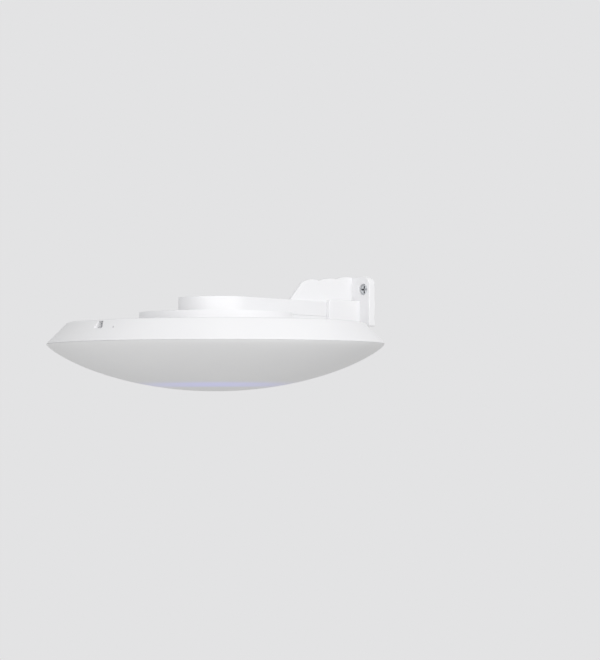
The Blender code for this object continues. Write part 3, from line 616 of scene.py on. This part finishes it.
def coil(radius, start, end, z):
    """Wire wound round a level line towards the wall, with a flat turn at each end."""
    steps = COIL_STEPS * SPRING_COILS
    sides = [2 * math.pi * k / WIRE_SIDES for k in range(WIRE_SIDES)]
    along = Vector((0.0, 1.0, 0.0))
    rings = []
    solid = bmesh.new()
    for i in range(steps + 1):
        turn = 2 * math.pi * SPRING_COILS * i / steps
        share = min(max((i / steps * SPRING_COILS - 1) / (SPRING_COILS - 2), 0.0), 1.0)
        out = Vector((math.cos(turn), 0.0, math.sin(turn)))
        centre = Vector((0.0, start + (end - start) * share, z)) + out * radius
        ring = [centre + SPRING_WIRE * (math.cos(a) * out + math.sin(a) * along) for a in sides]
        rings.append([solid.verts.new(point) for point in ring])
    for ring, next_ring in zip(rings, rings[1:]):
        skin(solid, ring, next_ring)
    solid.faces.new(rings[0])
    solid.faces.new(rings[-1])
    return solid


def latch_side():
    """Side view of the latch: ridged press pad, bar and nose, as (y, z) points."""
    low, high = LATCH_PAD_Z
    nose_front, nose_back = LATCH_NOSE
    nose_top = BASE_LOW - GAP
    pad_back = LATCH_FRONT + LATCH_PAD_DEPTH
    groove = LATCH_FRONT + RIDGE_DEPTH
    ridge = (high - low) / PAD_RIDGES
    side = [(LATCH_FRONT, low)]
    for i in range(PAD_RIDGES):
        side.append((LATCH_FRONT, low + (i + RIDGE_SHARE) * ridge))
        side.append((groove, low + (i + GROOVE_SHARE) * ridge))
    side += [(groove, high), (pad_back, LATCH_HIGH), (nose_front, LATCH_HIGH)]
    side += [(nose_front, nose_top - LATCH_NOSE_BREAK), (nose_front + LATCH_NOSE_BREAK, nose_top)]
    side += [(nose_back, nose_top), (nose_back, LATCH_HIGH), (LATCH_INNER, LATCH_HIGH)]
    return side + [(LATCH_INNER, LATCH_LOW), (pad_back, LATCH_LOW)]


def latch(finishes):
    """Sliding latch, and the coil spring that brings it back."""
    bar = sideways(eased_prism(latch_side(), -LATCH_HALF_WIDTH, LATCH_HALF_WIDTH, LATCH_EDGE, LATCH_EDGE))
    add_piece("latch_bar", bar, finishes, "release_latch")
    (_, front, _), (spring_radius, back, _) = span("latch_spring")
    middle = (LATCH_LOW + LATCH_HIGH) / 2
    wire = coil(spring_radius - SPRING_WIRE, front + SPRING_WIRE, back - SPRING_WIRE, middle)
    spring = add_piece("latch_coil", wire, finishes, "latch_spring")
    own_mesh(spring)


# Wall arm

def arm_outline(radius, angle, steps):
    """Plan of the arm's foot and tapered sides, which meet a round front at an angle in degrees."""
    right = [(FOOT_HALF_WIDTH, ARM_END), (FOOT_HALF_WIDTH, FOOT_START)]
    left = [(-x, y) for x, y in reversed(right)]
    return right + arc((0, 0), radius, angle, -180 - angle, steps) + left


def rib():
    """Upright rib on the arm's top, drawn from its side, with rounded edges."""
    corners = [(RIB_END, RIB_LOW, 0), (RIB_START, RIB_LOW, 0), (RIB_START, RIB_FOOT, 0)]
    corners += [(*point, radius) for point, radius in zip(RAMP, RAMP_FILLETS)]
    height = RAMP[-1][1]
    for start, end, end_height, crown in CROWNED_STEPS:
        for i in range(1, CROWN_POINTS + 1):
            share = i / CROWN_POINTS
            lift = (end_height - height) * share + 4 * crown * share * (1 - share)
            fillet = VALLEY_FILLET if share == 1 and end < RIB_END else 0
            corners.append((start + (end - start) * share, height + lift, fillet))
        height = end_height
    side = rounded(corners)
    return sideways(eased_prism(side, -RIB_HALF_WIDTH, RIB_HALF_WIDTH, RIB_EDGE, RIB_EDGE))


def arm(finishes):
    """Arm with a rib on top, hollow at its round front and with a cable channel to the wall."""
    solid = eased_prism(arm_outline(ARM_RADIUS, ARM_TAPER, 120), ARM_LOW, RING_TOP, INNER_EDGE, ARM_EDGE)
    drills = [box(CHANNEL_X, (CHANNEL_START, ARM_END + CLEAR), (ARM_LOW - CLEAR, CHANNEL_TOP))]
    for side in (-1, 1):
        bolt = facing_wall(drill(ARM_BOLT_HOLE[1], ARM_BOLT_DEPTH, ARM_END + CLEAR))
        drills.append(moved(bolt, side * ARM_BOLT_X, 0, ARM_BOLT_Z))
    drills += [drill(SCREW_HOLE, ARM_LOW - CLEAR, BASE_SCREW_DEPTH, x, y) for x, y in BASE_SCREW_SPOTS]
    hollow = drill(HOLLOW_RADIUS, ARM_LOW - CLEAR, HOLLOW_TOP)
    hollow = join(hollow, [box(*HOLLOW_REAR, (ARM_LOW - 2 * CLEAR, HOLLOW_REAR_TOP))])
    solid = cut(cut(join(solid, [rib()]), [hollow]), drills)
    return add_piece("arm", solid, finishes, "arm_shell")


def t_hook(angle):
    """Hook under the base: a stem and a wider foot, drawn outwards along one radius."""
    root = BASE_LOW + JOIN_OVERLAP
    half = [(HOOK_STEM, root), (HOOK_STEM, HOOK_STEP), (HOOK_FOOT, HOOK_STEP), (HOOK_FOOT, HOOK_LOW)]
    side = [(HOOK_RADIUS + r, z) for r, z in half] + [(HOOK_RADIUS - r, z) for r, z in reversed(half)]
    return turned(sideways(prism(side, -HOOK_HALF_WIDTH, HOOK_HALF_WIDTH)), angle - 90)


def base_disc(finishes):
    """Base disc with a tail under the arm, a cable hole and the four hooks of the twist lock."""
    tail_angle = math.degrees(math.acos(ARM_RADIUS / BASE_RADIUS)) + ARM_TAPER
    outline = arm_outline(BASE_RADIUS, tail_angle, 200)
    solid = eased_prism(outline, BASE_LOW, BASE_HIGH, BASE_LOW_EDGE, BASE_EDGE)
    drills = [moved(drill(BASE_HOLE_RADIUS, BASE_LOW - CLEAR, BASE_HIGH + CLEAR), y=BASE_HOLE_Y)]
    for x, y in BASE_SCREW_SPOTS:
        well = stepped_drill(BASE_SCREW_WELL, SCREW_HOLE, -BASE_HIGH - CLEAR, -BASE_SCREW_STEP, -BASE_LOW)
        drills.append(moved(turned(well, 180, "X"), x, y))
    solid = cut(join(solid, [t_hook(angle) for angle in HOOK_ANGLES]), drills)
    return add_piece("base_disc", solid, finishes, "mount_base")


def cheeks(finishes):
    """Raised covers on both sides of the arm's foot."""
    (inside, front, low), (outside, _, high) = span("foot_cover_right")
    back = PLATE_FRONT + CHEEK_EDGE
    corners = [(front, low, CHEEK_CORNER), (back, low, 0), (back, high, 0), (front, high, CHEEK_CORNER)]
    outline = rounded(corners, 8)
    for node, side in (("foot_cover_right", 1), ("foot_cover_left", -1)):
        solid = sideways(eased_prism(outline, inside - GAP + SEAM, outside, INNER_EDGE, CHEEK_EDGE))
        solid.transform(Matrix.Scale(side, 4, (1, 0, 0)))
        add_piece(node.replace("foot_cover", "cheek"), solid, finishes, node)


def back_plate(finishes):
    """Plate on the wall: round upper corners, counterbored wall holes, cable hole, arm bolt holes."""
    outline = rounded([
        (-PLATE_HALF_WIDTH, PLATE_LOW, PLATE_LOW_CORNER), (PLATE_HALF_WIDTH, PLATE_LOW, PLATE_LOW_CORNER),
        (PLATE_HALF_WIDTH, PLATE_HIGH, PLATE_CORNER), (-PLATE_HALF_WIDTH, PLATE_HIGH, PLATE_CORNER),
    ], 14)
    solid = facing_wall(eased_prism(outline, PLATE_FRONT, RIM_TO_WALL, PLATE_EDGE, PLATE_BACK_EDGE))
    cable = rounded_rectangle(CHANNEL_X, CABLE_HOLE_Z, CABLE_HOLE_CORNER)
    drills = [facing_wall(prism(cable, PLATE_FRONT - CLEAR, RIM_TO_WALL + CLEAR))]
    for side in (-1, 1):
        wall = stepped_drill(*WALL_HOLE, -RIM_TO_WALL - CLEAR, -WALL_HOLE_STEP, -PLATE_FRONT)
        drills.append(moved(turned(wall, 90, "X"), side * WALL_SCREW_X, 0, WALL_SCREW_Z))
        bolt = stepped_drill(*ARM_BOLT_HOLE, PLATE_FRONT - CLEAR, ARM_BOLT_STEP, RIM_TO_WALL)
        drills.append(moved(turned(bolt, -90, "X"), side * ARM_BOLT_X, 0, ARM_BOLT_Z))
    return add_piece("back_plate", cut(solid, drills), finishes, "wall_plate")


# Fasteners

def screw(head_radius, head_height, shank_radius, length):
    """Pan head screw pointing down, with the top of its head at height 0 and a cross recess in it."""
    profile = rounded([
        (0.0, 0.0, 0), (head_radius, -HEAD_CROWN * head_height, HEAD_ROUND * head_height),
        (head_radius, -head_height, HEAD_LOW_EDGE_MM), (shank_radius, -head_height, 0),
        (shank_radius, -length, SHANK_EDGE_MM), (0.0, -length, 0),
    ])
    wing, half = RECESS_WING * head_radius, RECESS_HALF_WIDTH * head_radius
    cross = [(wing, half), (half, half), (half, wing)]
    outline = []
    for quarter in range(4):
        turn = Matrix.Rotation(quarter * math.pi / 2, 2)
        outline += [turn @ Vector(point) for point in cross]
    wings = prism(outline, -RECESS_DEPTH * head_height, CLEAR)
    point = lathe([
        (0.0, CLEAR), (POINT_SPREAD * head_radius, CLEAR), (POINT_MOUTH * head_radius, 0.0),
        (0.0, -POINT_DEPTH * head_height),
    ], POINT_STEPS)
    return cut(cut(lathe(profile, SCREW_STEPS), [wings]), [point])


def fasteners(finishes):
    """Wall screws, arm bolts behind the plate, base screws from below and housing screws from above."""
    wall_head = RIM_TO_WALL - WALL_SCREW[3]
    for name, side in (("right", 1), ("left", -1)):
        wall = moved(turned(screw(*WALL_SCREW), 90, "X"), side * WALL_SCREW_X, wall_head, WALL_SCREW_Z)
        add_piece(f"plate_screw_{name}", wall, finishes, f"wall_screw_{name}")
        bolt = turned(screw(*ARM_BOLT), -90, "X")
        bolt = moved(bolt, side * ARM_BOLT_X, RIM_TO_WALL - HEAD_INSET, ARM_BOLT_Z)
        add_piece(f"foot_bolt_{name}", bolt, finishes, f"arm_bolt_{name}")
    for i, (x, y) in enumerate(BASE_SCREW_SPOTS):
        base = moved(turned(screw(*BASE_SCREW), 180, "X"), x, y, BASE_LOW + HEAD_INSET)
        add_piece(f"disc_screw_{i + 1}", base, finishes, f"base_screw_{i + 1}")
    for i, angle in enumerate(BOSS_ANGLES):
        housing = moved(screw(*HOUSING_SCREW), *polar(BOSS_CIRCLE, angle), HOUSING_SCREW_TOP)
        add_piece(f"cover_screw_{i + 1}", housing, finishes, f"housing_screw_{i + 1}")


# Finishes

def shade(code):
    """Linear colour from an sRGB hex code."""
    parts = [int(code[i:i + 2], 16) / 255 for i in (1, 3, 5)]
    return [c / 12.92 if c <= 0.04045 else ((c + 0.055) / 1.055) ** 2.4 for c in parts] + [1.0]


def add(tree, kind, inputs=None, **settings):
    """Add a node: settings are its own properties, inputs are values or the outputs that feed it."""
    made = tree.nodes.new(kind)
    for name, value in settings.items():
        setattr(made, name, value)
    for name, value in (inputs or {}).items():
        if isinstance(value, bpy.types.NodeSocket):
            tree.links.new(value, made.inputs[name])
        else:
            made.inputs[name].default_value = value
    return made


def finish(name, tones, roughness, grain, relief, cloud, metallic=0.0, stretch=(1.0, 1.0, 1.0)):
    """Material with two close tones, uneven gloss and fine relief, from noise sized in millimetres."""
    made = bpy.data.materials.new(name)
    made.use_nodes = True
    tree = made.node_tree
    tree.nodes.clear()
    place = add(tree, "ShaderNodeTexCoord").outputs["Object"]
    drawn = add(tree, "ShaderNodeVectorMath", {0: place, 1: stretch}, operation="MULTIPLY").outputs[0]
    fine = add(tree, "ShaderNodeTexNoise", {"Vector": drawn, "Scale": 1 / (grain * MM), "Detail": 2.0})
    broad = add(tree, "ShaderNodeTexNoise", {"Vector": place, "Scale": 1 / (cloud * MM), "Detail": 3.0})
    colour = add(tree, "ShaderNodeMix", {
        0: broad.outputs["Fac"], 6: shade(tones[0]), 7: shade(tones[1]),
    }, data_type="RGBA")
    gloss = add(tree, "ShaderNodeMapRange", {
        "Value": fine.outputs["Fac"], "To Min": roughness[0], "To Max": roughness[1],
    })
    bump = add(tree, "ShaderNodeBump", {"Height": fine.outputs["Fac"], "Distance": relief * MM})
    shader = add(tree, "ShaderNodeBsdfPrincipled", {
        "Base Color": colour.outputs[2], "Roughness": gloss.outputs["Result"],
        "Normal": bump.outputs["Normal"], "Metallic": metallic,
    })
    add(tree, "ShaderNodeOutputMaterial", {"Surface": shader.outputs["BSDF"]})
    return made, tree, shader


def glow(tree, shader):
    """Ring of soft blue light that shows through the dome, brightest over the two lamps behind it."""
    place = add(tree, "ShaderNodeTexCoord").outputs["Object"]
    middle = RIM_CENTRE * MM
    across = add(tree, "ShaderNodeVectorMath", {0: place, 1: middle}, operation="SUBTRACT").outputs[0]
    flat = (1.0, 1.0, 0.0)
    level = add(tree, "ShaderNodeVectorMath", {0: across, 1: flat}, operation="MULTIPLY").outputs[0]
    radius = add(tree, "ShaderNodeVectorMath", {0: level}, operation="LENGTH").outputs["Value"]
    off = add(tree, "ShaderNodeMath", {0: radius, 1: GLOW_RADIUS * MM}, operation="SUBTRACT").outputs[0]
    off = add(tree, "ShaderNodeMath", {0: off}, operation="ABSOLUTE").outputs[0]
    ring = add(tree, "ShaderNodeMapRange", {
        "Value": off, "From Max": GLOW_HALF_WIDTH * MM, "To Min": GLOW_STRENGTH, "To Max": 0.0,
    }, interpolation_type="SMOOTHSTEP").outputs["Result"]
    way = add(tree, "ShaderNodeVectorMath", {0: level}, operation="NORMALIZE").outputs[0]
    along = add(tree, "ShaderNodeVectorMath", {0: way, 1: GLOW_LAMP_WAY}, operation="DOT_PRODUCT")
    near = add(tree, "ShaderNodeMath", {0: along.outputs["Value"], 1: 2.0}, operation="POWER").outputs[0]
    share = add(tree, "ShaderNodeMapRange", {"Value": near, "To Min": GLOW_BETWEEN_LAMPS})
    strength = add(tree, "ShaderNodeMath", {0: ring, 1: share.outputs["Result"]}, operation="MULTIPLY")
    tree.links.new(strength.outputs[0], shader.inputs["Emission Strength"])
    shader.inputs["Emission Color"].default_value = shade(GLOW_COLOUR)


def paint_recess_shade(tree, shader):
    """Paint shade into the metal's colour deep in a screw's own recess, where nearby faces close in round it."""
    colour = shader.inputs["Base Color"].links[0].from_socket
    reach = RECESS_SHADE_REACH_MM * MM
    open_air = add(tree, "ShaderNodeAmbientOcclusion", {"Distance": reach}, only_local=True).outputs["AO"]
    share = add(tree, "ShaderNodeMapRange", {
        "Value": open_air, "From Min": RECESS_SHADE_OPEN[0], "From Max": RECESS_SHADE_OPEN[1],
    }).outputs["Result"]
    # Dark grey painted shade, mixed in where the recess is closed in
    mixed = add(tree, "ShaderNodeMix", {0: share, 6: shade("#3c3d40"), 7: colour}, data_type="RGBA")
    tree.links.new(mixed.outputs[2], shader.inputs["Base Color"])


def make_finishes():
    """Finish for each material slot of the record."""
    made = {
        # Polycarbonate blend moulded in a spark-eroded tool: even white with a fine matt grain. The real
        # grain is about 0.1 mm and is drawn at 0.8 mm, or it would not show.
        "white_plastic": finish("spark_textured_white_pc", ("#f1f1f3", "#f6f6f7"), (0.42, 0.55),
                                grain=0.8, relief=0.01, cloud=35.0),
        # The same blend with a finer tool face, so the dome is smoother and a little warmer.
        "dome_plastic": finish("satin_white_pc", ("#eaeaeb", "#efefef"), (0.36, 0.46),
                               grain=0.8, relief=0.006, cloud=45.0),
        # Moulded nylon, almost black, with the dull sheen of its glass filling.
        "black_plastic": finish("moulded_black_nylon", ("#161618", "#222225"), (0.4, 0.6),
                                grain=0.6, relief=0.02, cloud=4.0),
        # Moulded acetal in light grey: smooth, with a waxy low shine.
        "grey_plastic": finish("moulded_grey_acetal", ("#a8a9ac", "#b4b5b8"), (0.35, 0.5),
                               grain=0.6, relief=0.01, cloud=4.0),
        # Silicone rubber cord: dark grey and quite without shine.
        "grey_rubber": finish("moulded_silicone_rubber", ("#45474a", "#54565a"), (0.75, 0.9),
                              grain=0.8, relief=0.02, cloud=6.0),
        # Moulded acrylic: pale and glossy, faintly blue from the light inside.
        "clear_guide": finish("moulded_acrylic", ("#dfe4f6", "#eef1fb"), (0.08, 0.16),
                              grain=3.0, relief=0.01, cloud=12.0),
        # Glass fibre board under green solder mask, with the weave just showing through.
        "circuit_board": finish("solder_masked_board", ("#0d3f2a", "#17573b"), (0.25, 0.4),
                                grain=0.7, relief=0.02, cloud=5.0),
        # Tin plated steel sheet: pale grey metal with faint rolling lines.
        "tinned_steel": finish("tinned_steel_sheet", ("#b9b9b5", "#cfcfcb"), (0.24, 0.4),
                               grain=0.5, relief=0.01, cloud=8.0, metallic=1.0, stretch=(1, 12, 1)),
        # Rolled aluminium sheet, with fine lines along the roll.
        "aluminium": finish("rolled_aluminium", ("#c2c5c8", "#d8dadc"), (0.3, 0.45),
                            grain=0.6, relief=0.01, cloud=14.0, metallic=1.0, stretch=(1, 14, 1)),
        # Filled silicone pad: blue grey, soft and speckled by its filler.
        "thermal_pad": finish("filled_silicone_pad", ("#8592a8", "#a3aec2"), (0.7, 0.9),
                              grain=0.5, relief=0.04, cloud=1.2),
        # Sintered ferrite: dark grey brown with a fine dusty grain.
        "ferrite": finish("sintered_ferrite", ("#2b2926", "#3a3733"), (0.55, 0.75),
                          grain=0.4, relief=0.03, cloud=1.5),
        # Drawn spring wire: grey metal with a fine, slightly uneven shine.
        "spring_steel": finish("drawn_spring_wire", ("#8d8f92", "#a9abae"), (0.22, 0.36),
                               grain=0.3, relief=0.01, cloud=3.0, metallic=1.0),
        # Steel screws with clear zinc: pale cool metal with a slightly cloudy shine.
        "zinc_steel": finish("zinc_plated_steel", ("#cfd2d5", "#e1e3e5"), (0.3, 0.45),
                             grain=0.5, relief=0.01, cloud=2.0, metallic=1.0),
    }
    glow(*made["dome_plastic"][1:])
    # Painted shade darkens the zinc screws deep in their recesses
    paint_recess_shade(*made["zinc_steel"][1:])
    return {slot: parts[0] for slot, parts in made.items()}


def dress_inside(finishes):
    """Finishes for the CAD nodes that stay as they are."""
    for name, node in frame["nodes"].items():
        node.data.materials.clear()
        node.data.materials.append(finishes[SLOT_OF[name]])


# Stage

def floor():
    """Pale floor far below, fading into the background at its edge."""
    solid = bmesh.new()
    bmesh.ops.create_circle(solid, cap_ends=True, radius=FLOOR_RADIUS, segments=96)
    mesh = bpy.data.meshes.new("floor")
    solid.to_mesh(mesh)
    solid.free()
    made = bpy.data.materials.new("pale_floor")
    made.use_nodes = True
    tree = made.node_tree
    tree.nodes.clear()
    place = add(tree, "ShaderNodeTexCoord").outputs["Object"]
    radius = add(tree, "ShaderNodeVectorMath", {0: place}, operation="LENGTH").outputs["Value"]
    fade = add(tree, "ShaderNodeMapRange", {
        "Value": radius, "From Min": FLOOR_FADE_START, "From Max": FLOOR_RADIUS,
    }, interpolation_type="SMOOTHSTEP").outputs["Result"]
    paint = add(tree, "ShaderNodeBsdfDiffuse", {"Color": shade(FLOOR_COLOUR)})
    pale = add(tree, "ShaderNodeEmission", {"Color": shade(BACKGROUND)})
    seen = add(tree, "ShaderNodeLightPath").outputs["Is Camera Ray"]
    share = add(tree, "ShaderNodeMath", {0: seen, 1: FLOOR_PALENESS}, operation="MULTIPLY").outputs[0]
    looks = add(tree, "ShaderNodeMixShader", {0: share, 1: paint.outputs[0], 2: pale.outputs[0]})
    clear = add(tree, "ShaderNodeBsdfTransparent")
    mixed = add(tree, "ShaderNodeMixShader", {0: fade, 1: looks.outputs[0], 2: clear.outputs[0]})
    add(tree, "ShaderNodeOutputMaterial", {"Surface": mixed.outputs[0]})
    mesh.materials.append(made)
    disc = bpy.data.objects.new("floor", mesh)
    disc.location.z = FLOOR_Z
    bpy.context.scene.collection.objects.link(disc)


def surroundings():
    """Pale background to look at, and an even room light."""
    world = bpy.data.worlds.new("studio")
    world.use_nodes = True
    tree = world.node_tree
    tree.nodes.clear()
    rays = add(tree, "ShaderNodeLightPath")
    seen = rays.outputs["Is Camera Ray"]
    for kind in ("Is Glossy Ray", "Is Transmission Ray"):
        either = add(tree, "ShaderNodeMath", {0: seen, 1: rays.outputs[kind]}, operation="MAXIMUM")
        seen = either.outputs[0]
    light = add(tree, "ShaderNodeBackground", {"Color": shade("#ffffff"), "Strength": ROOM_LEVEL})
    shown = add(tree, "ShaderNodeBackground", {"Color": shade(BACKGROUND), "Strength": 1.0})
    mixed = add(tree, "ShaderNodeMixShader", {0: seen, 1: light.outputs[0], 2: shown.outputs[0]})
    add(tree, "ShaderNodeOutputWorld", {"Surface": mixed.outputs[0]})
    bpy.context.scene.world = world


def softbox(name, watts, size, place):
    """Round soft lamp aimed at the object."""
    light = bpy.data.lights.new(name, "AREA")
    light.energy = watts
    light.shape = "DISK"
    light.size = size
    lamp = bpy.data.objects.new(name, light)
    lamp.location = place
    lamp.rotation_euler = (Vector(LAMP_AIM) - Vector(place)).to_track_quat("-Z", "Y").to_euler()
    lamp.visible_camera = False
    bpy.context.scene.collection.objects.link(lamp)


def camera():
    """Camera at the photograph's view: below the rim, looking slightly up, from the front right."""
    lens = bpy.data.cameras.new("camera")
    lens.sensor_width = SENSOR_MM
    lens.lens = LENS_MM
    eye = bpy.data.objects.new("camera", lens)
    eye.location = CAMERA_PLACE
    eye.rotation_euler = [math.radians(a) for a in (90 + CAMERA_PITCH, CAMERA_ROLL, CAMERA_YAW)]
    bpy.context.scene.collection.objects.link(eye)
    bpy.context.scene.camera = eye


def build():
    finishes = make_finishes()
    dress_inside(finishes)
    dome(finishes)
    back_cover(finishes)
    latch(finishes)
    arm(finishes)
    base_disc(finishes)
    cheeks(finishes)
    back_plate(finishes)
    fasteners(finishes)
    floor()
    surroundings()
    softbox("key", *KEY_LAMP)
    softbox("fill", *FILL_LAMP)
    camera()
    bpy.context.scene.view_settings.view_transform = "Standard"


build()
